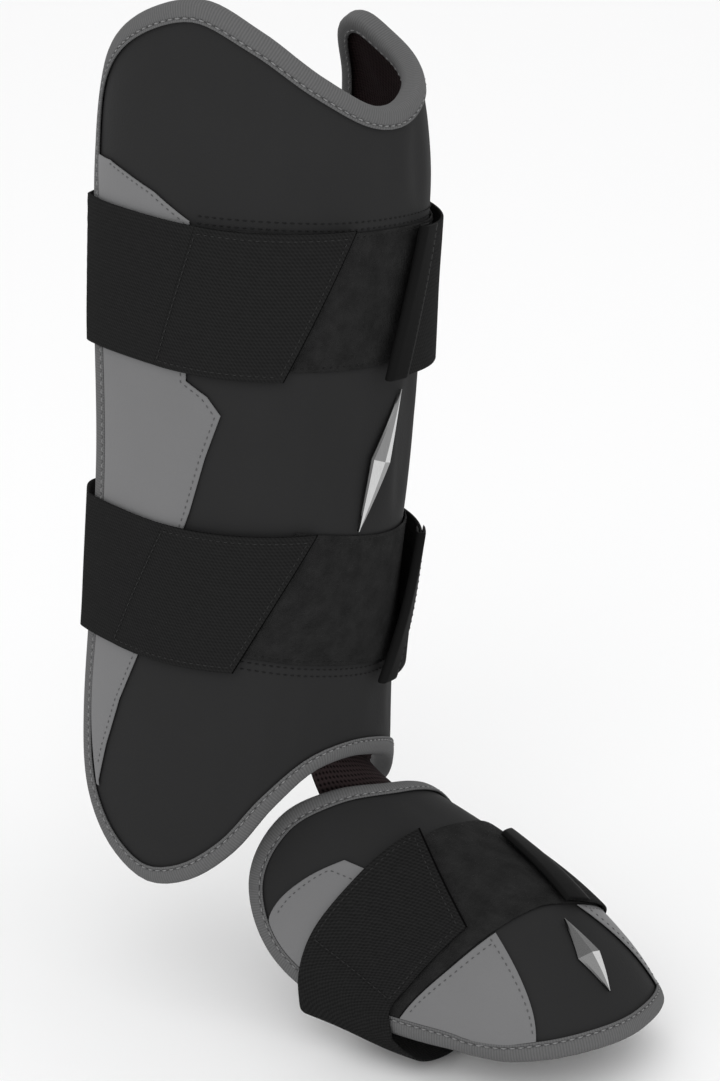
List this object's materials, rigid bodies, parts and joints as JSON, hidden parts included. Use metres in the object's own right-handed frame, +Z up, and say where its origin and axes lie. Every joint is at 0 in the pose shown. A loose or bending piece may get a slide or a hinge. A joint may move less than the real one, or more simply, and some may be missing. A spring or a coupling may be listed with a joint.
{
  "type": "leg guard",
  "caption": "Padded shin shell with two wide wrap straps, and a padded foot guard that hangs from it on a mesh link and is held by a strap under the sole.",
  "frame": {"origin": "middle of the leg that the shin shell sits round, 240 mm above the sole", "axes": "+Z up along the leg, -Y towards the toes, +X towards the outer side of a left leg"},
  "size_m": [0.1482, 0.2632, 0.4451],
  "materials": {
    "black_leather": "smooth satin synthetic leather over foam",
    "grey_leather": "smooth satin synthetic leather",
    "grey_tape": "ribbed woven edge tape with dashed stitching",
    "elastic": "woven elastic, matte",
    "loop_pile": "fine loop pile, matte",
    "smooth_tape": "smooth folded tape",
    "lining_mesh": "knitted spacer mesh",
    "link_mesh": "knitted spacer mesh",
    "bright_metal": "faceted bright metal"
  },
  "bodies": {
    "root": {"shin_pad": "black_leather", "shin_lining": "lining_mesh", "shin_binding": "grey_tape", "shin_side_panel": "grey_leather", "upper_strap": "elastic", "upper_strap_tab": "elastic", "upper_loop_field": "loop_pile", "upper_pull_strip": "smooth_tape", "lower_strap": "elastic", "lower_strap_tab": "elastic", "lower_loop_field": "loop_pile", "lower_pull_strip": "smooth_tape", "shin_badge": "bright_metal", "foot_pad": "black_leather", "foot_binding": "grey_tape", "foot_loop_field": "loop_pile", "foot_toe_panel": "grey_leather", "foot_outer_panel": "grey_leather", "foot_rear_panel": "grey_leather", "foot_strap_tab": "elastic", "foot_strap": "elastic", "foot_pull_strip": "smooth_tape", "foot_badge": "bright_metal", "ankle_link": "link_mesh"}
  },
  "joints": []
}
